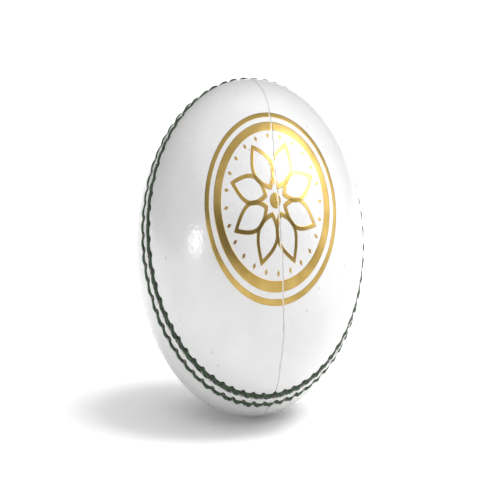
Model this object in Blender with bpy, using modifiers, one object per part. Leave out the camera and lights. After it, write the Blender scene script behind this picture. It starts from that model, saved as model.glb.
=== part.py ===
"""Cricket ball, built piece by piece as a ball maker builds it.

A cork and rubber nucleus is wrapped in layers of wool yarn and cork. Two leather-lined cups close over
it, each cup sewn from two leather quarters. A hidden thread closes the cups, and one thick row of twisted
thread lies on each side of the raised lip where they meet.

Metres, +Z up, origin at the ball's centre. Every piece is made about the ball's own axis, which runs from
the far pole to the near pole, and is then turned with the ball to the way it lies at rest.
"""
import math

import bpy
from mathutils import Matrix

MM = 0.001

# Driving dimensions
BALL_RADIUS = 36.0 * MM          # leather surface: 72 mm across, 226 mm round
SEAM_OFFSET = 6.0 * MM           # how far the join lies from the centre, towards the near pole
LEATHER = 3.0 * MM
GAP = 0.3 * MM                   # between pieces that touch on the real ball
ROW_SPREAD = math.radians(3.4)   # from the join to each row of thread, along the surface
STITCHES = 64                    # in each row
THREAD_RADIUS = 0.95 * MM        # fattest place of a stitch
THREAD_PINCH = 0.8               # thinnest place between stitches, as a share of the fattest
THREAD_SINK = 0.5 * MM           # centre of the thread below the leather surface
LIP_HEIGHT = 0.3 * MM            # how far the lip stands above the leather surface
QUARTER_OFFSET = 1.6 * MM        # how far the quarter joins lie from the ball's axis
HIDDEN_THREAD_RADIUS = 0.4 * MM
LINING = 0.8 * MM
YARN_THICKNESS = (4.2 * MM, 4.2 * MM, 3.6 * MM)   # outer, middle, inner winding
CORK_THICKNESS = 2.0 * MM
YARN_END_HOLE = 1.0 * MM         # where the yarn's end goes in, at the far pole

# How the ball lies
POLE_AZIMUTH = math.radians(14.3)     # near pole, turned to the right of the front
POLE_ELEVATION = math.radians(26.7)   # near pole, above the horizontal
QUARTER_TURN = math.radians(-0.1)     # quarter joins, about the ball's axis

# Facets
COVER_STEPS = 40
CORE_STEPS = 20
RING_STEPS = 48


def clear_scene():
    for item in list(bpy.data.objects):
        bpy.data.objects.remove(item)


def new_collection(name):
    group = bpy.data.collections.new(name)
    bpy.context.scene.collection.children.link(group)
    return group


clear_scene()
BALL = new_collection("cricket_ball")
CUTTERS = new_collection("cutters")

# All pieces hang from this empty, whose local +Z is the ball's own axis
AXIS = bpy.data.objects.new("ball_axis", None)
AXIS.matrix_world = (Matrix.Rotation(POLE_AZIMUTH, 4, "Z")
                     @ Matrix.Rotation(math.pi / 2 - POLE_ELEVATION, 4, "X")
                     @ Matrix.Rotation(QUARTER_TURN, 4, "Z"))
BALL.objects.link(AXIS)


def material(name, colour, roughness, metallic=0.0):
    made = bpy.data.materials.new(name)
    made.use_nodes = True
    shader = made.node_tree.nodes["Principled BSDF"]
    shader.inputs["Base Color"].default_value = (*colour, 1.0)
    shader.inputs["Roughness"].default_value = roughness
    shader.inputs["Metallic"].default_value = metallic
    made.diffuse_color = (*colour, 1.0)
    return made


def place(item, group=BALL):
    group.objects.link(item)
    item.parent = AXIS
    return item


def arc(radius, start, end, step):
    """Points (distance from the axis, height) on a circle round the centre, between two latitudes.

    Between its ends it has a point at each whole step of latitude, so that nested layers have
    parallel facets and keep their gap."""
    low, high = min(start, end), max(start, end)
    margin = 0.2 * step
    inner = [n * step for n in range(math.ceil(low / step), math.floor(high / step) + 1)
             if low + margin < n * step < high - margin]
    if start > end:
        inner.reverse()
    return [(radius * math.cos(a), radius * math.sin(a)) for a in (start, *inner, end)]


def latitude(radius, height):
    return math.asin(height / radius)


def turned(name, profile, steps, look):
    """A piece turned about the ball's axis.

    Its profile runs down the outer side and back up the inner one, and both its ends are on the axis."""
    vertices = [(x, 0.0, z) for x, z in profile]
    edges = [(i, i + 1) for i in range(len(vertices) - 1)]
    mesh = bpy.data.meshes.new(name)
    mesh.from_pydata(vertices, edges, [])
    mesh.materials.append(look)
    item = place(bpy.data.objects.new(name, mesh))
    screw = item.modifiers.new("turn", "SCREW")
    screw.axis = "Z"
    screw.steps = steps
    screw.render_steps = steps
    screw.use_merge_vertices = True
    screw.merge_threshold = 0.00001
    return item


def cut(item, operation, cutter):
    boolean = item.modifiers.new(operation.lower() + "_" + cutter.name, "BOOLEAN")
    boolean.operation = operation
    boolean.solver = "EXACT"
    boolean.object = cutter


def as_cutter(item):
    item.hide_render = True
    item.display_type = "WIRE"
    return item


def thread(name, points, radius, look, widths=None):
    """A thread along a list of points: a ring, or an open arc with capped ends if widths is None."""
    curve = bpy.data.curves.new(name, "CURVE")
    curve.dimensions = "3D"
    curve.bevel_depth = radius
    curve.bevel_resolution = 1
    curve.use_fill_caps = True
    curve.materials.append(look)
    spline = curve.splines.new("POLY")
    spline.points.add(len(points) - 1)
    for index, (point, spot) in enumerate(zip(points, spline.points)):
        spot.co = (*point, 1.0)
        spot.radius = widths[index] if widths else 1.0
    spline.use_cyclic_u = widths is not None
    return place(bpy.data.objects.new(name, curve))


# Materials

WHITE_LEATHER = material("white_leather", (0.86, 0.87, 0.87), 0.32)
LINING_LEATHER = material("lining_leather", (0.62, 0.47, 0.33), 0.8)
GREEN_THREAD = material("green_thread", (0.03, 0.07, 0.045), 0.75)
LINEN_THREAD = material("linen_thread", (0.70, 0.62, 0.48), 0.8)
WOOL_YARN = material("wool_yarn", (0.72, 0.66, 0.56), 0.95)
CORK = material("cork", (0.55, 0.36, 0.20), 0.9)
CORK_RUBBER = material("cork_rubber", (0.20, 0.12, 0.08), 0.85)


# Core: nucleus, then yarn, cork, yarn, cork, yarn

STEP = 2 * math.pi / CORE_STEPS
POLE = math.pi / 2


def winding(name, outer, thickness):
    """Yarn wound into a ball-shaped shell, open where its end goes in at the far pole."""
    inner = outer - thickness
    outer_end = -math.acos(YARN_END_HOLE / outer)
    inner_end = -math.acos(YARN_END_HOLE / inner)
    profile = arc(outer, POLE, outer_end, STEP) + arc(inner, inner_end, POLE, STEP)
    return turned(name, profile, CORE_STEPS, WOOL_YARN)


def cork_layer(name, outer, thickness):
    """A layer of cork in two half shells that meet round the middle."""
    inner = outer - thickness
    for side, sign in (("near", 1), ("far", -1)):
        outer_rim = latitude(outer, GAP / 2)
        inner_rim = latitude(inner, GAP / 2)
        if sign > 0:
            profile = arc(outer, POLE, outer_rim, STEP) + arc(inner, inner_rim, POLE, STEP)
        else:
            profile = arc(inner, -POLE, -inner_rim, STEP) + arc(outer, -outer_rim, -POLE, STEP)
        turned(f"{name}_{side}", profile, CORE_STEPS, CORK)


lining_outer = BALL_RADIUS - LEATHER - 0.4 * MM
radius = lining_outer - LINING - GAP
winding("yarn_winding_outer", radius, YARN_THICKNESS[0])
radius -= YARN_THICKNESS[0] + GAP
cork_layer("cork_layer_outer", radius, CORK_THICKNESS)
radius -= CORK_THICKNESS + GAP
winding("yarn_winding_middle", radius, YARN_THICKNESS[1])
radius -= YARN_THICKNESS[1] + GAP
cork_layer("cork_layer_inner", radius, CORK_THICKNESS)
radius -= CORK_THICKNESS + GAP
winding("yarn_winding_inner", radius, YARN_THICKNESS[2])
radius -= YARN_THICKNESS[2] + GAP
turned("nucleus", arc(radius, POLE, -POLE, STEP), CORE_STEPS, CORK_RUBBER)


# Linings of the two cups

near_edge = SEAM_OFFSET + GAP / 2
far_edge = SEAM_OFFSET - GAP / 2
lining_inner = lining_outer - LINING
near_lining = (arc(lining_outer, POLE, latitude(lining_outer, near_edge), STEP)
               + arc(lining_inner, latitude(lining_inner, near_edge), POLE, STEP))
far_lining = (arc(lining_inner, -POLE, latitude(lining_inner, far_edge), STEP)
              + arc(lining_outer, latitude(lining_outer, far_edge), -POLE, STEP))
turned("cup_lining_near", near_lining, CORE_STEPS, LINING_LEATHER)
turned("cup_lining_far", far_lining, CORE_STEPS, LINING_LEATHER)


# Leather cups: profiles with the lip, the bed of the thread row and the bed of the closing thread

seam_latitude = latitude(BALL_RADIUS, SEAM_OFFSET)
thread_orbit = BALL_RADIUS - THREAD_SINK
bed_radius = THREAD_RADIUS + 0.35 * MM
cover_inner = BALL_RADIUS - LEATHER
closing_apex = math.sqrt(cover_inner ** 2 - SEAM_OFFSET ** 2) + 1.2 * MM
closing_orbit = closing_apex - (HIDDEN_THREAD_RADIUS + GAP) * math.sqrt(2)


def row_centre(side):
    """Centre of a thread row in the profile plane; side is +1 for the near row, -1 for the far one."""
    angle = seam_latitude + side * ROW_SPREAD
    return thread_orbit * math.cos(angle), thread_orbit * math.sin(angle)


def bed_arc(side):
    """The thread's bed, from where it meets the leather surface round to the lip's top."""
    centre_x, centre_z = row_centre(side)
    outward = math.atan2(centre_z, centre_x)
    points = []
    spread = math.acos((BALL_RADIUS - thread_orbit) / bed_radius)
    lip_spread = math.acos((BALL_RADIUS + LIP_HEIGHT - thread_orbit) / bed_radius)
    steps = 6
    for index in range(steps + 1):
        turn = spread + (2 * math.pi - lip_spread - spread) * index / steps
        angle = outward + side * turn
        points.append((centre_x + bed_radius * math.cos(angle), centre_z + bed_radius * math.sin(angle)))
    return points


def cup_profile(side):
    """Half of a cup's section, from its pole to the join and back along the inside."""
    edge = SEAM_OFFSET + side * GAP / 2
    step = 2 * math.pi / COVER_STEPS
    bed = bed_arc(side)
    bed_start = math.atan2(bed[0][1], bed[0][0])
    lip_top = BALL_RADIUS + LIP_HEIGHT
    lip = (math.sqrt(lip_top ** 2 - edge ** 2), edge)
    apex = (closing_apex, edge)
    chamfer = 1.25 * MM
    inner_rim = latitude(cover_inner, edge + side * chamfer)
    outer = arc(BALL_RADIUS, side * POLE, bed_start, step)[:-1]
    inner = arc(cover_inner, inner_rim, side * POLE, step)
    return outer + bed + [lip, apex] + inner


# The quarter join: each half of a cup is what lies on its side of this plane, less the thread's bed

def half_space(name, side):
    size = 4 * BALL_RADIUS
    bpy.ops.mesh.primitive_cube_add(size=size)
    box = bpy.context.object
    for group in list(box.users_collection):
        group.objects.unlink(box)
    box.name = name
    box.location = (QUARTER_OFFSET + side * (size / 2 + GAP / 2), 0, 0)
    return as_cutter(place(box, CUTTERS))


def quarter_bed():
    bpy.ops.mesh.primitive_torus_add(major_radius=quarter_orbit, minor_radius=HIDDEN_THREAD_RADIUS + GAP,
                                     major_segments=COVER_STEPS, minor_segments=8,
                                     location=(QUARTER_OFFSET, 0, 0), rotation=(0, math.pi / 2, 0))
    ring = bpy.context.object
    for group in list(ring.users_collection):
        group.objects.unlink(ring)
    ring.name = "quarter_thread_bed"
    return as_cutter(place(ring, CUTTERS))


quarter_orbit = math.sqrt((cover_inner + 0.25 * MM) ** 2 - QUARTER_OFFSET ** 2)
HALVES = {"right": half_space("right_half", 1), "left": half_space("left_half", -1)}
QUARTER_BED = quarter_bed()

for cup, side in (("near", 1), ("far", -1)):
    profile = cup_profile(side)
    if side < 0:
        profile.reverse()
    for half, space in HALVES.items():
        quarter = turned(f"{cup}_cover_{half}", profile, COVER_STEPS, WHITE_LEATHER)
        quarter.rotation_euler.z = math.pi / COVER_STEPS   # no facet edge lies along the join
        cut(quarter, "INTERSECT", space)
        cut(quarter, "DIFFERENCE", QUARTER_BED)


# Threads

def ring_points(distance, height, count):
    turns = [2 * math.pi * n / count for n in range(count)]
    return [(distance * math.cos(t), distance * math.sin(t), height) for t in turns]


for cup, side in (("near", 1), ("far", -1)):
    distance, height = row_centre(side)
    stations = 2 * STITCHES
    widths = [THREAD_PINCH if n % 2 else 1.0 for n in range(stations)]
    thread(f"seam_thread_{cup}", ring_points(distance, height, stations), THREAD_RADIUS, GREEN_THREAD, widths)

thread("closing_thread", ring_points(closing_orbit, SEAM_OFFSET, RING_STEPS), HIDDEN_THREAD_RADIUS,
       LINEN_THREAD, [1.0] * RING_STEPS)


def quarter_arc(side):
    """Points over the pole of one cup, in the plane of the quarter join, short of the closing thread."""
    clear = side * seam_latitude + math.radians(4.0)
    count = RING_STEPS // 2
    turns = [clear + (math.pi - 2 * clear) * n / count for n in range(count + 1)]
    return [(QUARTER_OFFSET, quarter_orbit * math.cos(t), side * quarter_orbit * math.sin(t)) for t in turns]


thread("quarter_thread_near", quarter_arc(1), HIDDEN_THREAD_RADIUS, LINEN_THREAD)
thread("quarter_thread_far", quarter_arc(-1), HIDDEN_THREAD_RADIUS, LINEN_THREAD)
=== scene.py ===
import math

import bpy
import numpy as np
from mathutils import Matrix, Vector


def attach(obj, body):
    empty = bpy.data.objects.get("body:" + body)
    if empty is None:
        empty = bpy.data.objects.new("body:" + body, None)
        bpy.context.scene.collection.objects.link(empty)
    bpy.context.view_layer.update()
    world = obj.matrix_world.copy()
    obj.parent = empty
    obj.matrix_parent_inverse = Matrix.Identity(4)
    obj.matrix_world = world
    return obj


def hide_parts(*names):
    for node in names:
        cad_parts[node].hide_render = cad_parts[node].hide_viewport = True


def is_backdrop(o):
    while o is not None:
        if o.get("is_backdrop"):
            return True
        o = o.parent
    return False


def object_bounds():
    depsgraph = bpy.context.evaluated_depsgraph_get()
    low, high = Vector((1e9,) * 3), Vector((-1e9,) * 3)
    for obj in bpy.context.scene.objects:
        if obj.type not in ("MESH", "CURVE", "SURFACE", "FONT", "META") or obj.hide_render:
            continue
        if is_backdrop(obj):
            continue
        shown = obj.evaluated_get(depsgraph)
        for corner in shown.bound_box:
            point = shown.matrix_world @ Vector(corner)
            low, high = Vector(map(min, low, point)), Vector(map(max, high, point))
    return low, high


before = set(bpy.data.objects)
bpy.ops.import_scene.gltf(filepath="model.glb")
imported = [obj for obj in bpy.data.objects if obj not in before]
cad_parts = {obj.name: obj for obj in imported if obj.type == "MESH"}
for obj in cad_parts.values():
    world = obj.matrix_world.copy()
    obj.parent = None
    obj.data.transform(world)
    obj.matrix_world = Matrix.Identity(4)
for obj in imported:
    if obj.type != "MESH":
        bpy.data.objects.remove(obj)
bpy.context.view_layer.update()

MM = 0.001

# The ball, with the sizes of the CAD model
BALL_RADIUS = 36.0 * MM
SEAM_OFFSET = 6.0 * MM
LEATHER = 3.0 * MM
ROW_SPREAD = 2.14 * MM            # from the join to the middle of each row, along the surface
STITCHES = 64
QUARTER_OFFSET = 1.6 * MM
POLE_AZIMUTH = math.radians(14.3)
POLE_ELEVATION = math.radians(26.7)
QUARTER_TURN = math.radians(-0.1)

SEAM_LATITUDE = math.asin(SEAM_OFFSET / BALL_RADIUS)
STITCH_TURN = 2 * math.pi / STITCHES
STITCH_PITCH = STITCH_TURN * BALL_RADIUS

# The leather round the seam
LIP_HEIGHT = 0.30 * MM
LIP_EDGE = 0.98 * MM              # from the join to where the lip drops into a row's bed
BED_EDGE = 3.25 * MM              # from the join to the bed's outer edge
BED_DEPTH = 0.90 * MM
SEAM_SINK = 0.40 * MM             # the leather and its stitches are drawn in a little along the seam
SEAM_SINK_WIDTH = 6.0 * MM
PIT_DEPTH = 0.70 * MM             # of the holes that the stitches start from
PIT_LENGTH = 0.55 * MM
PIT_WIDTH = 0.32 * MM
PIT_SHIFT = 0.16 * MM             # of a hole towards the near pole
PULL_LENGTH = 0.45 * MM           # how far along a row a stitch pulls the leather down
PULL_DEPTH = 0.10 * MM
LIP_JOIN_DEPTH = 0.10 * MM        # of the fine line where the two lips meet
LIP_JOIN_WIDTH = 0.10 * MM
PILLOW_HEIGHT = 0.07 * MM         # the leather swells beside a row's bed
PILLOW_REACH = 1.6 * MM
PUCKER_DEPTH = 0.07 * MM          # and is drawn in beside each stitch
PUCKER_REACH = 0.9 * MM
BED_SLOPE = 0.25 * MM             # how wide the sides of a bed are
CREASE_DEPTH = 0.20 * MM          # of the quarter joins
CREASE_WIDTH = 0.15 * MM
LEATHER_WAVES = ((0.012 * MM, 9 * MM, 14, 3), (0.02 * MM, 24 * MM, 10, 4))    # height, length, count, seed
RAW_AND_SHADE_DEPTHS = (0.22 * MM, 0.45 * MM)        # the leather is painted darker from the first depth and near-black from the second: partly raw leather, partly painted shade in the rows' beds and holes

# How each quarter's shell is sampled
COLUMNS = 560
INNER_POINTS = 12
CORNER_TRIM = 0.0015              # the share of the seam left out at each corner, where columns shrink
JOIN_GAP = 0.02 * MM
BY_SEAM = np.concatenate([np.arange(0, 4.2, 0.10), np.arange(4.2, 7.0, 0.2)]) * MM
BY_JOIN = np.concatenate([np.arange(4.4, 0.8, -0.3), [0.62, 0.48, 0.36, 0.26, 0.18, 0.12, 0.06, 0]]) * MM
MIDDLE = np.linspace(0, 1, 40)[1:-1]
DENSE_SPAN = 14 * MM              # columns shorter than this have their points squeezed together

# How the thread lies: each stitch is a twisted bundle of plies
PLIES = 3
PLY_RADIUS = 0.44 * MM
BUNDLE_WIDTH = 0.70 * MM          # from the bundle's middle to its plies' middles, across the row
BUNDLE_HEIGHT = 0.30 * MM
STITCH_LENGTH = 1.22 * STITCH_PITCH
STITCH_SLANT = 0.30 * MM
STITCH_BELLY = 0.42 * MM          # how far a stitch bows towards the far pole
THREAD_SINK = 0.12 * MM           # the bundle's middle below the leather, half way along a stitch
THREAD_DIVE = 0.80 * MM           # how much deeper its two ends go
PLY_TWIST = 0.62                  # turns of the plies round each other along a stitch
PLY_STEPS = 22
PLY_SIDES = 10

# The closing thread's knots on the lip
KNOT_STEPS = 11
KNOT_SIDES = 8
KNOT_REACH = {"near": 0.26 * MM, "far": 0.12 * MM}     # half of a knot's length, across the row
KNOT_WIDTHS = (0.10 * MM, 0.16 * MM)
KNOT_DIVE = 0.45 * MM

RANDOM = np.random.default_rng(7)

TURN = np.array(Matrix.Rotation(POLE_AZIMUTH, 3, "Z")
                @ Matrix.Rotation(math.pi / 2 - POLE_ELEVATION, 3, "X")
                @ Matrix.Rotation(QUARTER_TURN, 3, "Z"))


# Helpers

def smooth_step(value, low, high):
    share = np.clip((value - low) / (high - low), 0, 1)
    return share * share * (3 - 2 * share)


def bump(value, width):
    return np.exp(-(value / width) ** 2)


def unit(vectors):
    return vectors / np.linalg.norm(vectors, axis=-1, keepdims=True)


def on_ball(turn, latitude):
    """Unit directions in the ball's own frame, whose +Z is the near pole."""
    turn, latitude = np.broadcast_arrays(turn, latitude)
    flat = np.cos(latitude)
    return np.stack([flat * np.cos(turn), flat * np.sin(turn), np.sin(latitude)], axis=-1)


def between(start, end, share):
    """Points on the great circles from start to end, at the given shares of the way."""
    angle = np.arccos(np.clip((start * end).sum(-1, keepdims=True), -1, 1))
    share = share[..., None]
    return (np.sin((1 - share) * angle) * start + np.sin(share * angle) * end) / np.sin(angle)


def waves(directions, length, count, seed):
    """A smooth random height between about -1 and 1, with waves of about the given length."""
    rng = np.random.default_rng(seed)
    total = np.zeros(directions.shape[:-1])
    for _ in range(count):
        way = unit(rng.normal(size=3)) * (2 * math.pi * BALL_RADIUS / length) * rng.uniform(0.7, 1.3)
        total += np.cos(directions @ way + rng.uniform(0, 2 * math.pi))
    return total / math.sqrt(count)


def add_mesh(name, points, faces, look, body="root"):
    """A smooth mesh from points in the ball's own frame."""
    mesh = bpy.data.meshes.new(name)
    mesh.from_pydata((points.reshape(-1, 3) @ TURN.T).tolist(), [], faces)
    mesh.materials.append(look)
    mesh.shade_smooth()
    item = bpy.data.objects.new(name, mesh)
    bpy.context.scene.collection.objects.link(item)
    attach(item, body)
    return item


def loop_faces(rings, sides, start=0, closed=False):
    """Quads of a tube whose rings follow each other: closed into a ring, or with a face over each end."""
    faces = []
    for ring in range(rings if closed else rings - 1):
        low = start + ring * sides
        high = start + (ring + 1) % rings * sides
        for side in range(sides):
            after = (side + 1) % sides
            faces.append((low + side, low + after, high + after, high + side))
    if closed:
        return faces
    faces.append(tuple(start + side for side in reversed(range(sides))))
    faces.append(tuple(start + (rings - 1) * sides + side for side in range(sides)))
    return faces


# Stitch places: each row's stitches are a little uneven, as hand stitching is

class Row:
    def __init__(self, side, shift):
        self.side = side
        self.latitude = SEAM_LATITUDE + side * ROW_SPREAD / BALL_RADIUS
        jitter = RANDOM.normal(0, 0.045, STITCHES)
        self.turns = (np.arange(STITCHES) + shift + jitter) * STITCH_TURN
        self.drift = RANDOM.normal(0, 0.06, STITCHES) * MM
        self.slants = STITCH_SLANT * RANDOM.normal(1, 0.18, STITCHES)
        self.fatness = RANDOM.normal(1, 0.04, STITCHES)

    def nearest(self, turn):
        """For each turn, the distance along the row from the nearest stitch's head, and its drift."""
        heads = self.turns - 0.42 * STITCH_TURN
        place = np.round((turn - heads[0]) / STITCH_TURN).astype(int) % STITCHES
        away = (turn - heads[place] + math.pi) % (2 * math.pi) - math.pi
        return away * BALL_RADIUS, self.drift[place]


ROWS = {"near": Row(1, 0.0), "far": Row(-1, 0.35)}


# Leather

QUARTER_BOW = -0.85 * MM          # how far the near quarter join strays where it passes the pole
QUARTER_ENDS = 0.70 * MM          # and half way from there to its two ends
NICK_PLACE = (-3.0 * MM, -1.04)   # a small crescent nick: off the join, and by its angle from the pole
NICK_DEPTH = 0.09 * MM
NICK_RADIUS = 0.9 * MM
NICK_WIDTH = 0.28 * MM
QUARTER_LEAN = 0.75 * MM          # and beside the near row, under the ball's front


def quarter_stray(along):
    """How far the near cup's quarter join strays from its plane, by its angle from the pole."""
    share = np.sin(1.9 * along) ** 2
    wander = (0.22 * np.sin(7.3 * along + 2.4) + 0.10 * np.sin(15.0 * along + 1.0)
              + 0.07 * np.sin(37 * along))
    jags = 0.09 * np.abs(np.sin(29 * along + 0.5)) + 0.07 * np.sin(83 * along + 2.0 * np.sin(11 * along))
    lean = smooth_step(-along, 0.95, 1.25) * (1 - smooth_step(-along, 1.31, 1.40))
    fade = np.clip(np.cos(along), 0, 1) ** 0.5
    bow = QUARTER_BOW * (1 - share) + QUARTER_ENDS * share
    return (bow + (wander + jags) * MM) * fade + QUARTER_LEAN * lean


def relief(directions, side):
    """Height of a cup's leather above the ball's radius, and how dark each point is painted: raw leather
    and painted shade where it sinks, and a dark line along the quarter join.
    """
    latitude = np.arcsin(np.clip(directions[..., 2], -1, 1))
    turn = np.arctan2(directions[..., 1], directions[..., 0])
    across = side * (latitude - SEAM_LATITUDE) * BALL_RADIUS
    row = ROWS["near" if side > 0 else "far"]
    along, drift = row.nearest(turn)
    inner_edge = LIP_EDGE + 0.5 * drift
    outer_edge = BED_EDGE + drift
    past_bed = np.clip(across - outer_edge, 0, None)
    pull = bump(along, PULL_LENGTH)
    lip = LIP_HEIGHT - PULL_DEPTH * pull - LIP_JOIN_DEPTH * bump(across, LIP_JOIN_WIDTH)
    pillow = PILLOW_HEIGHT * np.exp(-past_bed / PILLOW_REACH)
    pucker = -PUCKER_DEPTH * pull * np.exp(-past_bed / PUCKER_REACH)
    inside = 1 - smooth_step(across, inner_edge, inner_edge + BED_SLOPE)
    outside = smooth_step(across, outer_edge - BED_SLOPE, outer_edge)
    height = lip * inside + (pillow + pucker) * outside - BED_DEPTH * (1 - inside) * (1 - outside)
    pole_edge = outer_edge if side > 0 else inner_edge
    pit = bump(along, PIT_LENGTH) * bump(across - pole_edge - side * PIT_SHIFT, PIT_WIDTH)
    height = height - PIT_DEPTH * pit
    angle = np.arctan2(directions[..., 1], side * directions[..., 2])
    off_join = directions[..., 0] * BALL_RADIUS - QUARTER_OFFSET
    if side > 0:
        off_join = off_join - quarter_stray(np.clip(angle, -1.5, 1.5))
    worn = 0.55 + 0.25 * smooth_step(-angle, -0.2, 0.6) + 0.2 * np.sin(17 * angle + 1.0) * np.sin(6 * angle)
    ragged = CREASE_WIDTH * (1 + 0.35 * np.sin(41 * angle) + 0.25 * np.sin(67 * angle + 1.3))
    crease = -CREASE_DEPTH * worn * bump(off_join, ragged)
    swell = (0.045 * MM * bump(off_join - 0.6 * MM, 0.6 * MM)
             + 0.025 * MM * bump(off_join + 0.7 * MM, 0.5 * MM))
    wrinkle = 0.020 * MM * bump(off_join, 1.3 * MM) * np.sin(55 * angle + 9 * off_join / MM)
    height = height + (crease + swell + wrinkle) * outside
    if side > 0:
        nick = np.hypot(off_join - NICK_PLACE[0], (angle - NICK_PLACE[1]) * BALL_RADIUS)
        open_side = smooth_step(NICK_PLACE[0] - off_join, -0.4 * MM, 0.4 * MM)
        height = height - NICK_DEPTH * bump(nick - NICK_RADIUS, NICK_WIDTH) * open_side
    height = height - SEAM_SINK * bump(across, SEAM_SINK_WIDTH)
    for wave_height, length, count, seed in LEATHER_WAVES:
        height = height + wave_height * waves(directions, length, count, seed)
    # Where the leather sinks into a row's bed or a stitch hole it is painted dark, partly as raw leather
    # and partly as painted shade; the quarter join gets a darker line too.
    sunk = height + SEAM_SINK * bump(across, SEAM_SINK_WIDTH)
    dirt = 0.62 * bump(off_join, ragged) * worn * (0.75 + 0.25 * np.sin(23 * angle + 0.7)) * outside
    raw = np.maximum(smooth_step(-sunk, *RAW_AND_SHADE_DEPTHS), dirt)
    return height, raw


def column_distances(lengths):
    """Distances from the seam of each column's points: dense near the seam and near the quarter join."""
    columns = []
    for length in lengths:
        squeeze = min(1.0, length / DENSE_SPAN)
        first = BY_SEAM * squeeze
        last = length - BY_JOIN * squeeze
        columns.append(np.concatenate([first, first[-1] + (last[0] - first[-1]) * MIDDLE, last]))
    return np.array(columns)


def quarter(name, side, half, look, node):
    """One leather quarter, as a closed shell between its stretch of the seam and its quarter join."""
    corner = math.acos(QUARTER_OFFSET / math.sqrt(BALL_RADIUS ** 2 - SEAM_OFFSET ** 2))
    share = np.linspace(CORNER_TRIM, 1 - CORNER_TRIM, COLUMNS)
    turn = (-1 + 2 * share) * corner if half > 0 else -corner - (2 * math.pi - 2 * corner) * share
    rim = on_ball(turn, np.full(COLUMNS, SEAM_LATITUDE))
    corner_height = math.sqrt(BALL_RADIUS ** 2 - SEAM_OFFSET ** 2 - QUARTER_OFFSET ** 2)
    reach = math.atan2(corner_height, side * SEAM_OFFSET)
    along = (-1 + 2 * share) * reach
    stray = quarter_stray(np.clip(along, -1.5, 1.5)) if side > 0 else np.zeros(COLUMNS)
    off_axis = (QUARTER_OFFSET + stray) / BALL_RADIUS
    flat = np.sqrt(1 - off_axis ** 2)
    edge = np.stack([off_axis, flat * np.sin(along), side * flat * np.cos(along)], -1)
    rim = unit(rim + np.array([0, 0, side * JOIN_GAP / BALL_RADIUS]))
    edge = unit(edge + np.array([half * JOIN_GAP / BALL_RADIUS, 0, 0]))
    length = np.arccos((rim * edge).sum(-1)) * BALL_RADIUS
    outer = column_distances(length) / length[:, None]
    outer_points = between(rim[:, None], edge[:, None], outer)
    height, raw = relief(outer_points, side)
    outer_points = outer_points * (BALL_RADIUS + height)[..., None]
    inner = np.linspace(1, 0, INNER_POINTS)[None].repeat(COLUMNS, 0)
    inner_points = between(rim[:, None], edge[:, None], inner) * (BALL_RADIUS - LEATHER)
    points = np.concatenate([outer_points, inner_points], axis=1)
    # the inner faces are painted fully dark
    raw = np.concatenate([raw, np.ones(inner.shape)], axis=1)
    if side * half > 0:                  # so that every shell's faces look outwards
        points, raw = points[:, ::-1], raw[:, ::-1]
    item = add_mesh(name, points, loop_faces(COLUMNS, points.shape[1]), look)
    item.data.attributes.new("raw", "FLOAT", "POINT").data.foreach_set("value", raw.ravel())
    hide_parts(node)


# Materials

def new_material(name, base=(0.8, 0.8, 0.8), roughness=0.5, **sockets):
    made = bpy.data.materials.new(name)
    made.use_nodes = True
    shader = made.node_tree.nodes["Principled BSDF"]
    shader.inputs["Base Color"].default_value = (*base, 1.0)
    shader.inputs["Roughness"].default_value = roughness
    for socket, value in sockets.items():
        shader.inputs[socket.replace("_", " ")].default_value = value
    return made, made.node_tree, shader


def texture(tree, kind, coordinates, **settings):
    node = tree.nodes.new("ShaderNodeTex" + kind)
    for setting, value in settings.items():
        if setting in node.inputs.keys():
            node.inputs[setting].default_value = value
        else:
            setattr(node, setting, value)
    tree.links.new(coordinates, node.inputs["Vector"])
    return node


def ramp(tree, factor, stops):
    node = tree.nodes.new("ShaderNodeValToRGB")
    elements = node.color_ramp.elements
    for element, (position, colour) in ((elements[0], stops[0]), (elements[1], stops[-1])):
        element.position = position
        element.color = (*colour, 1)
    for position, colour in stops[1:-1]:
        elements.new(position).color = (*colour, 1)
    tree.links.new(factor, node.inputs["Fac"])
    return node.outputs["Color"]


def mix(tree, factor, first, second):
    node = tree.nodes.new("ShaderNodeMix")
    node.data_type = "RGBA"
    for socket, value in ((node.inputs[0], factor), (node.inputs[6], first), (node.inputs[7], second)):
        if isinstance(value, bpy.types.NodeSocket):
            tree.links.new(value, socket)
        elif isinstance(value, float):
            socket.default_value = value
        else:
            socket.default_value = (*value, 1)
    return node.outputs[2]


def maths(tree, operation, *values):
    node = tree.nodes.new("ShaderNodeMath")
    node.operation = operation
    for socket, value in zip(node.inputs, values):
        if isinstance(value, bpy.types.NodeSocket):
            tree.links.new(value, socket)
        else:
            socket.default_value = value
    return node.outputs[0]


def bumps(tree, shader, layers):
    """Bump layers of (height, depth in metres), each on top of the one before."""
    normal = None
    for height, depth in layers:
        node = tree.nodes.new("ShaderNodeBump")
        node.inputs["Strength"].default_value = 1.0
        node.inputs["Distance"].default_value = depth
        tree.links.new(height, node.inputs["Height"])
        if normal:
            tree.links.new(normal, node.inputs["Normal"])
        normal = node.outputs["Normal"]
    tree.links.new(normal, shader.inputs["Normal"])
    tree.links.new(normal, shader.inputs["Coat Normal"])


def object_place(tree):
    return tree.nodes.new("ShaderNodeTexCoord").outputs["Object"]


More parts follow.
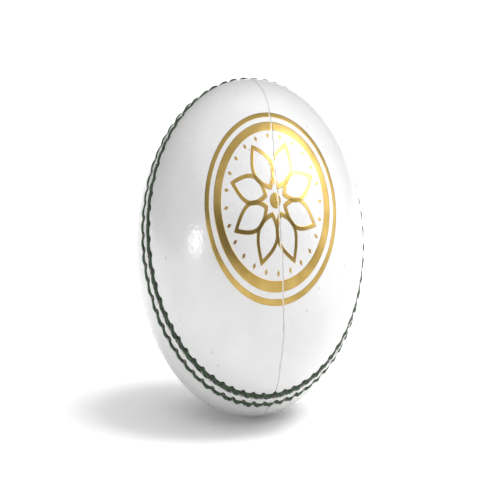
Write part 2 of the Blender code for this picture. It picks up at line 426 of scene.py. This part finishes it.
def leather_look():
    made, tree, shader = new_material("white_leather", roughness=0.34, Coat_Weight=0.5, Coat_Roughness=0.09)
    place = object_place(tree)
    mottle = texture(tree, "Noise", place, Scale=90.0, Detail=3.0, Roughness=0.5)
    base = ramp(tree, mottle.outputs["Fac"], [(0.3, (0.580, 0.578, 0.580)), (0.7, (0.622, 0.619, 0.617))])
    spots = texture(tree, "Voronoi", place, Scale=500.0, Randomness=1.0)
    tint = tree.nodes.new("ShaderNodeSeparateColor")
    tree.links.new(spots.outputs["Color"], tint.inputs[0])
    rare = maths(tree, "GREATER_THAN", tint.outputs[0], 0.85)
    size = maths(tree, "MULTIPLY", tint.outputs[1], 0.20)
    close = maths(tree, "LESS_THAN", spots.outputs["Distance"], size)
    speck = maths(tree, "MULTIPLY", maths(tree, "MULTIPLY", rare, close), 0.5)
    specked = mix(tree, speck, base, (0.30, 0.27, 0.23))
    # Painted darkening where the leather sinks: tan raw leather first, then near-black painted shade in the
    # rows' beds and the stitch holes.
    raw = tree.nodes.new("ShaderNodeAttribute")
    raw.attribute_name = "raw"
    stain_and_shade = ramp(tree, raw.outputs["Fac"], [(0.35, (0.40, 0.34, 0.26)), (0.85, (0.030, 0.022, 0.016))])
    tree.links.new(mix(tree, raw.outputs["Fac"], specked, stain_and_shade), shader.inputs["Base Color"])
    peel = texture(tree, "Noise", place, Scale=800.0, Detail=3.0, Roughness=0.6)
    pores = texture(tree, "Voronoi", place, Scale=1500.0, feature="SMOOTH_F1", Smoothness=0.6)
    bumps(tree, shader, [(peel.outputs["Fac"], 0.09 * MM), (pores.outputs["Distance"], 0.010 * MM)])
    rough = texture(tree, "Noise", place, Scale=260.0, Detail=2.0)
    roughness = maths(tree, "MULTIPLY_ADD", rough.outputs["Fac"], 0.10, 0.27)
    tree.links.new(roughness, shader.inputs["Roughness"])
    return made


def thread_look(name, dark, middle, light, ridges):
    """Twisted thread: slanting fibres from the mesh's own UV, with painted shade between them, painted
    highlight on them and painted shade at each tube's ends.
    """
    made, tree, shader = new_material(name, roughness=0.6, Specular_IOR_Level=0.35,
                                      Sheen_Weight=0.1, Sheen_Roughness=0.4)
    uv = tree.nodes.new("ShaderNodeTexCoord").outputs["UV"]
    fibres = texture(tree, "Wave", uv, Scale=ridges, Distortion=2.2, Detail=2.0, bands_direction="DIAGONAL")
    fibres.inputs["Detail Scale"].default_value = 1.5
    patch = texture(tree, "Noise", object_place(tree), Scale=900.0, Detail=3.0)
    shade = maths(tree, "MULTIPLY_ADD", fibres.outputs["Fac"], 0.55,
                  maths(tree, "MULTIPLY", patch.outputs["Fac"], 0.6))
    # the fibres' grooves are painted dark and their ridges light, painted shade and painted highlight, with
    # a random tone from the patches
    lit = ramp(tree, shade, [(0.2, dark), (0.55, middle), (0.9, light)])
    # each tube's ends are painted dark: painted shade where the thread goes into its holes
    tip = tree.nodes.new("ShaderNodeAttribute")
    tip.attribute_name = "tip"
    tree.links.new(mix(tree, tip.outputs["Fac"], lit, dark), shader.inputs["Base Color"])
    bumps(tree, shader, [(fibres.outputs["Fac"], 0.05 * MM), (patch.outputs["Fac"], 0.04 * MM)])
    return made


def foil_look():
    made, tree, shader = new_material("gold_foil", roughness=0.30)
    place = object_place(tree)
    cloud = texture(tree, "Noise", place, Scale=160.0, Detail=4.0)
    colour = ramp(tree, cloud.outputs["Fac"], [(0.3, (0.355, 0.240, 0.066)), (0.7, (0.50, 0.350, 0.115))])
    worn = tree.nodes.new("ShaderNodeAttribute")
    worn.attribute_name = "worn"
    tree.links.new(mix(tree, worn.outputs["Fac"], colour, (0.72, 0.70, 0.66)), shader.inputs["Base Color"])
    tree.links.new(maths(tree, "SUBTRACT", 1.0, worn.outputs["Fac"]), shader.inputs["Metallic"])
    peel = texture(tree, "Noise", place, Scale=2200.0, Detail=2.0, Roughness=0.55)
    bumps(tree, shader, [(peel.outputs["Fac"], 0.020 * MM)])
    return made


def core_look(name, dark, light, grain, depth, roughness, squash=(1.0, 1.0, 1.0)):
    """A look for the pieces inside: grains or strands of two tones, of the given number per metre."""
    made, tree, shader = new_material(name, roughness=roughness)
    stretch = tree.nodes.new("ShaderNodeMapping")
    stretch.inputs["Scale"].default_value = squash
    tree.links.new(object_place(tree), stretch.inputs["Vector"])
    place = stretch.outputs["Vector"]
    grains = texture(tree, "Voronoi", place, Scale=grain)
    cloud = texture(tree, "Noise", place, Scale=grain * 0.3, Detail=4.0)
    tone = maths(tree, "MULTIPLY", grains.outputs["Distance"], cloud.outputs["Fac"])
    tree.links.new(ramp(tree, tone, [(0.05, dark), (0.45, light)]), shader.inputs["Base Color"])
    bumps(tree, shader, [(grains.outputs["Distance"], depth), (cloud.outputs["Fac"], 0.5 * depth)])
    return made


LEATHER_LOOK = leather_look()
# the thread looks' colours run from painted shade through the thread's own colour to painted highlight
GREEN_LOOK = thread_look("green_thread", (0.003, 0.006, 0.003), (0.018, 0.042, 0.020),
                         (0.105, 0.17, 0.095), 3.0)
LINEN_LOOK = thread_look("linen_thread", (0.10, 0.07, 0.045), (0.26, 0.20, 0.14), (0.45, 0.37, 0.28), 3.0)
FOIL_LOOK = foil_look()


# The core and the inner threads keep their CAD shapes

CORE_LOOKS = {
    "nucleus": core_look("cork_rubber", (0.06, 0.035, 0.02), (0.20, 0.11, 0.06), 900.0, 0.10 * MM, 0.75),
    "yarn_winding": core_look("wool_yarn", (0.42, 0.36, 0.27), (0.78, 0.72, 0.60), 700.0, 0.25 * MM, 0.9,
                              (1.0, 0.15, 2.0)),
    "cork_layer": core_look("cork", (0.20, 0.10, 0.045), (0.56, 0.36, 0.19), 600.0, 0.12 * MM, 0.8),
    "cup_lining": core_look("lining_leather", (0.38, 0.25, 0.15), (0.60, 0.45, 0.30), 2500.0, 0.04 * MM,
                            0.7),
    "quarter_thread": core_look("waxed_linen", (0.30, 0.23, 0.15), (0.66, 0.56, 0.42), 1800.0, 0.08 * MM,
                                0.6, (1.0, 0.3, 1.0)),
}
for node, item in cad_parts.items():
    for start, look in CORE_LOOKS.items():
        if node.startswith(start):
            for place in item.material_slots:
                place.material = look


# The cover: four quarters

for cup, side in (("near", 1), ("far", -1)):
    for hand, half in (("left", -1), ("right", 1)):
        quarter(f"{cup}_{hand}_quarter", side, half, LEATHER_LOOK, f"{cup}_cover_{hand}")


# Threads

def tube(path, widths, across, up, sides):
    """Rings of points round a path, with the path's own across and up directions."""
    around = np.arange(sides) * 2 * math.pi / sides
    ring = np.cos(around)[None, :, None] * across[:, None] + np.sin(around)[None, :, None] * up[:, None]
    return path[:, None] + ring * widths[:, None, None]


def frames(path, outward):
    """Unit across and up directions along a path that lies on the ball."""
    ahead = unit(np.gradient(path, axis=0))
    across = unit(np.cross(outward, ahead))
    return across, np.cross(ahead, across)


def stitch_plies(row, index):
    """The twisted plies of one stitch, each a list of rings."""
    share = np.linspace(0, 1, PLY_STEPS)
    fat = row.fatness[index]
    rise = np.clip(np.sin(math.pi * share), 0, 1) ** 0.7
    along = (share - 0.5) * STITCH_LENGTH
    across = row.slants[index] * np.cos(math.pi * share) - STITCH_BELLY * (rise - 0.6) + row.drift[index]
    height = -THREAD_SINK - THREAD_DIVE * (1 - rise) ** 1.3
    width = BUNDLE_WIDTH * (0.20 + 0.80 * rise) * fat
    start = RANDOM.uniform(0, 2 * math.pi)
    rings = []
    for ply in range(PLIES):
        angle = start + 2 * math.pi * (ply / PLIES + PLY_TWIST * share)
        side_step = across + width * np.cos(angle)
        lift = height + BUNDLE_HEIGHT * rise * np.sin(angle)
        turn = row.turns[index] + along / BALL_RADIUS
        spots = on_ball(turn, row.latitude + side_step / BALL_RADIUS)
        path = spots * (BALL_RADIUS - SEAM_SINK + lift)[:, None]
        over, up = frames(path, spots)
        rings.append(tube(path, PLY_RADIUS * fat * (0.62 + 0.38 * rise), over, up, PLY_SIDES))
    return rings


def add_tubes(name, tubes, look, sizes):
    """One mesh of many tubes, whose UV runs along and round each of them in millimetres."""
    points, faces, uvs, tip_shades, start = [], [], [], [], 0
    for rings in tubes:
        count, sides = rings.shape[:2]
        points.append(rings.reshape(-1, 3))
        faces += loop_faces(count, sides, start)
        start += count * sides
        place = np.stack(np.meshgrid(np.arange(count) * sizes[0], np.arange(sides) * sizes[1],
                                     indexing="ij"), -1)
        uvs.append(place.reshape(-1, 2))
        # each tube's ends are marked for painted shade where the thread goes into its holes
        tip_shades.append(np.repeat(np.abs(np.linspace(-1, 1, count)) ** 4, sides))
    item = add_mesh(name, np.concatenate(points), faces, look)
    uv_map = item.data.uv_layers.new(name="UVMap")
    corners = np.empty(len(item.data.loops), int)
    item.data.loops.foreach_get("vertex_index", corners)
    uv_map.data.foreach_set("uv", np.concatenate(uvs)[corners].ravel())
    item.data.attributes.new("tip", "FLOAT", "POINT").data.foreach_set("value", np.concatenate(tip_shades))
    return item


for cup, row in ROWS.items():
    tubes = [ply for index in range(STITCHES) for ply in stitch_plies(row, index)]
    item = add_tubes(f"{cup}_row_stitches", tubes, GREEN_LOOK, (0.22, 0.28))
    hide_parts(f"seam_thread_{cup}")


def lip_stitches():
    """The closing thread, where it shows across the lip between the two rows."""
    tubes = []
    share = np.linspace(-1, 1, KNOT_STEPS)
    for cup, row in ROWS.items():
        for index in range(STITCHES):
            head = row.turns[index] - 0.47 * STITCH_TURN
            lean = RANDOM.normal(0.08, 0.05) * STITCH_TURN
            across = row.side * (LIP_EDGE + 0.14 * MM) + KNOT_REACH[cup] * share
            spots = on_ball(head - lean * share, SEAM_LATITUDE + across / BALL_RADIUS)
            lift = LIP_HEIGHT - 0.10 * MM - KNOT_DIVE * np.abs(share) ** 2
            path = spots * (BALL_RADIUS - SEAM_SINK + lift)[:, None]
            over, up = frames(path, spots)
            widths = np.full(KNOT_STEPS, RANDOM.uniform(*KNOT_WIDTHS))
            tubes.append(tube(path, widths, over, up, KNOT_SIDES))
    item = add_tubes("closing_thread_stitches", tubes, LINEN_LOOK, (0.2, 0.2))
    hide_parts("closing_thread")


lip_stitches()


# The printed mark: a plain rosette in two rings, of gold foil as thin as a print

MARK_SHIFT = (0.1 * MM, 0.9 * MM)       # of its middle from the near pole
MARK_RING = (21.9 * MM, 1.5 * MM)         # radius along the surface, and width
MARK_INNER_RING = (18.4 * MM, 2.5 * MM)
MARK_PETALS = 8
MARK_PETAL = (3.3 * MM, 14.0 * MM, 3.0 * MM)     # where a petal starts, where it ends, half its width
MARK_STROKE = 1.0 * MM
MARK_DOTS = 24
MARK_DOT_RADIUS = 15.6 * MM
MARK_DOT_LENGTH = 0.8 * MM                # half of it
MARK_MIDDLE = 1.8 * MM
FOIL_LIFT = 0.02 * MM
FOIL_STEP = 0.16 * MM
FOIL_WEAR = 0.16 * MM             # how far beside the quarter join the foil is worn off


def ring_band(radius, width):
    """The outer and inner edge of a ring, as flat loops of the same number of points."""
    count = int(2 * math.pi * radius / FOIL_STEP)
    turns = np.arange(count) * 2 * math.pi / count
    circle = np.stack([np.cos(turns), np.sin(turns)], -1)
    return circle * (radius + width / 2), circle * (radius - width / 2)


def petal_band(start, end, half_width, turn):
    """The outer and inner edge of a leaf that points away from the middle."""
    count = int(1.3 * (end - start) / FOIL_STEP)
    around = np.arange(2 * count) * math.pi / count
    share = 0.5 - 0.5 * np.cos(around)
    bulge = np.sign(np.sin(around)) * np.sin(math.pi * share) ** 0.85 * (1.25 - 0.5 * share)
    away, over = np.array([math.cos(turn), math.sin(turn)]), np.array([-math.sin(turn), math.cos(turn)])
    edges = []
    for grow in (0.5, -0.5):
        low, high = start - 1.4 * grow * MARK_STROKE, end + 1.6 * grow * MARK_STROKE
        radius = low + (high - low) * share
        width = (half_width + grow * MARK_STROKE) * bulge
        edges.append(radius[:, None] * away + width[:, None] * over)
    return edges


def lozenge_band(radius, half_length, turn):
    """The edges of a small solid lozenge, whose inner edge is its own middle line."""
    corners = np.array([(1, 0), (0, 0.62), (-1, 0), (0, -0.62)]) * half_length
    share = np.linspace(0, 1, 6)[:-1, None]
    outline = np.concatenate([corners[i] + share * (corners[(i + 1) % 4] - corners[i]) for i in range(4)])
    away, over = np.array([math.cos(turn), math.sin(turn)]), np.array([-math.sin(turn), math.cos(turn)])
    middle = radius * away
    outer = middle + outline[:, :1] * away + outline[:, 1:] * over
    return outer, middle + 0.02 * (outer - middle)


def foil_strip(outer, inner):
    """A band of foil between two flat loops: a thin closed shell that follows the leather under it."""
    following = np.roll(outer, -1, axis=0)
    if (outer[:, 0] * following[:, 1] - outer[:, 1] * following[:, 0]).sum() > 0:
        outer, inner = outer[::-1], inner[::-1]      # all bands run one way round, so they face outwards
    columns = max(3, int(np.linalg.norm(outer - inner, axis=-1).max() / FOIL_STEP) + 1)
    share = np.linspace(0, 1, columns)[None, :, None]
    flat = outer[:, None] * (1 - share) + inner[:, None] * share + np.array(MARK_SHIFT)
    distance = np.linalg.norm(flat, axis=-1, keepdims=True)
    angle = distance / BALL_RADIUS
    spots = np.concatenate([flat / np.maximum(distance, 1e-9) * np.sin(angle), np.cos(angle)], -1)
    height, _ = relief(spots, 1)
    top = spots * (BALL_RADIUS + height + FOIL_LIFT)[..., None]
    bottom = spots * (BALL_RADIUS + height - FOIL_LIFT)[..., None]
    side_angle = np.arctan2(spots[..., 1], spots[..., 2])
    off_join = spots[..., 0] * BALL_RADIUS - QUARTER_OFFSET - quarter_stray(side_angle)
    worn = bump(off_join, FOIL_WEAR)
    return np.concatenate([top, bottom[:, ::-1]], 1), np.concatenate([worn, worn[:, ::-1]], 1)


def printed_mark():
    bands = [ring_band(*MARK_RING), ring_band(*MARK_INNER_RING),
             ring_band(MARK_MIDDLE / 2, 0.96 * MARK_MIDDLE)]
    bands += [petal_band(*MARK_PETAL, 2 * math.pi * (index + 0.5) / MARK_PETALS)
              for index in range(MARK_PETALS)]
    bands += [lozenge_band(MARK_DOT_RADIUS, MARK_DOT_LENGTH, 2 * math.pi * index / MARK_DOTS)
              for index in range(MARK_DOTS)]
    strips = [foil_strip(*band) for band in bands]
    faces, start = [], 0
    for points, _ in strips:
        faces += loop_faces(points.shape[0], points.shape[1], start, closed=True)
        start += points.shape[0] * points.shape[1]
    points = np.concatenate([points.reshape(-1, 3) for points, _ in strips])
    item = add_mesh("gold_rosette", points, faces, FOIL_LOOK)
    worn = np.concatenate([values.ravel() for _, values in strips])
    item.data.attributes.new("worn", "FLOAT", "POINT").data.foreach_set("value", worn)


printed_mark()


# Camera, floor and lights

VIEW_ELEVATION = math.radians(12.0)
LENS = 900.0
SENSOR = 36.0
BALL_HEIGHT_IN_FRAME = 0.6776     # a share of the frame's side
FRAME_SHIFT = -0.002              # a share of it too: the ball's middle lies a little above the frame's
FRAME_STRETCH = 1.49              # the picture is this much narrower than the ball really is


def squeezed_camera():
    """A long lens in front of the ball, whose picture is narrowed sideways to fit a square frame.

    The camera hangs from an empty through a sheared matrix: its up direction leans towards the ball, so
    a step up in the picture covers less of the ball than a step sideways."""
    ahead = Vector((0, math.cos(VIEW_ELEVATION), -math.sin(VIEW_ELEVATION)))
    up = Vector((0, math.sin(VIEW_ELEVATION), math.cos(VIEW_ELEVATION)))
    lean = math.acos(1 / FRAME_STRETCH)
    leaning_up = math.cos(lean) * up + math.sin(lean) * ahead
    distance = 2 * BALL_RADIUS / BALL_HEIGHT_IN_FRAME * FRAME_STRETCH * LENS / SENSOR
    away = -ahead * distance
    data = bpy.data.cameras.new("camera")
    data.lens = LENS
    data.sensor_width = SENSOR
    data.clip_end = 3 * distance
    data.shift_y = FRAME_SHIFT
    camera = bpy.data.objects.new("camera", data)
    holder = bpy.data.objects.new("camera_holder", None)
    for item in (camera, holder):
        bpy.context.scene.collection.objects.link(item)
    camera.parent = holder
    columns = (Vector((1, 0, 0)), leaning_up, -ahead, away)
    rows = [[column[axis] for column in columns] for axis in range(3)]
    camera.matrix_parent_inverse = Matrix(rows + [[0, 0, 0, 1]])
    bpy.context.scene.camera = camera


squeezed_camera()


WORLD_LIGHT = 0.20
FLOOR_RADIUS = 9.0
FLOOR_GLOW = 0.08                 # the floor is lit through from below, like a photographer's light table


def floor():
    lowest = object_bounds()[0][2]
    bpy.ops.mesh.primitive_circle_add(vertices=96, radius=FLOOR_RADIUS, fill_type="NGON",
                                      location=(0, 0, lowest))
    item = bpy.context.object
    item.name = "floor"
    made, tree, shader = new_material("pale_floor", base=(0.97, 0.97, 0.97), roughness=0.6,
                                      Emission_Color=(1, 1, 1, 1), Emission_Strength=FLOOR_GLOW)
    shader.inputs["Specular IOR Level"].default_value = 0.2
    item.data.materials.append(made)
    item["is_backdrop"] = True


def add_light(name, kind, azimuth, elevation, distance, energy):
    """A light that looks at the ball; azimuth is to the right of the camera, both angles in degrees."""
    data = bpy.data.lights.new(name, kind)
    data.energy = energy
    item = bpy.data.objects.new(name, data)
    bpy.context.scene.collection.objects.link(item)
    a, e = math.radians(azimuth), math.radians(elevation)
    towards = Vector((math.sin(a) * math.cos(e), -math.cos(a) * math.cos(e), math.sin(e)))
    item.location = towards * distance
    item.rotation_euler = towards.to_track_quat("Z", "Y").to_euler()
    return data


def sun(name, azimuth, elevation, strength, spread):
    """A soft light from far away."""
    add_light(name, "SUN", azimuth, elevation, 0.0, strength).angle = math.radians(spread)


def softbox(name, azimuth, elevation, distance, size, power):
    data = add_light(name, "AREA", azimuth, elevation, distance, power)
    data.shape = "RECTANGLE"
    data.size, data.size_y = size


floor()
sun("window_light", azimuth=84, elevation=57, strength=2.5, spread=40)
sun("right_fill", azimuth=92, elevation=22, strength=1.05, spread=50)
sun("ceiling_light", azimuth=60, elevation=80, strength=1.5, spread=110)
softbox("left_softbox", azimuth=-57, elevation=10, distance=0.9, size=(0.15, 0.17), power=1.6)
world = bpy.data.worlds.new("studio")
bpy.context.scene.world = world
world.use_nodes = True
world.node_tree.nodes["Background"].inputs["Color"].default_value = (1, 1, 1, 1)
world.node_tree.nodes["Background"].inputs["Strength"].default_value = WORLD_LIGHT
bpy.context.scene.view_settings.view_transform = "Standard"
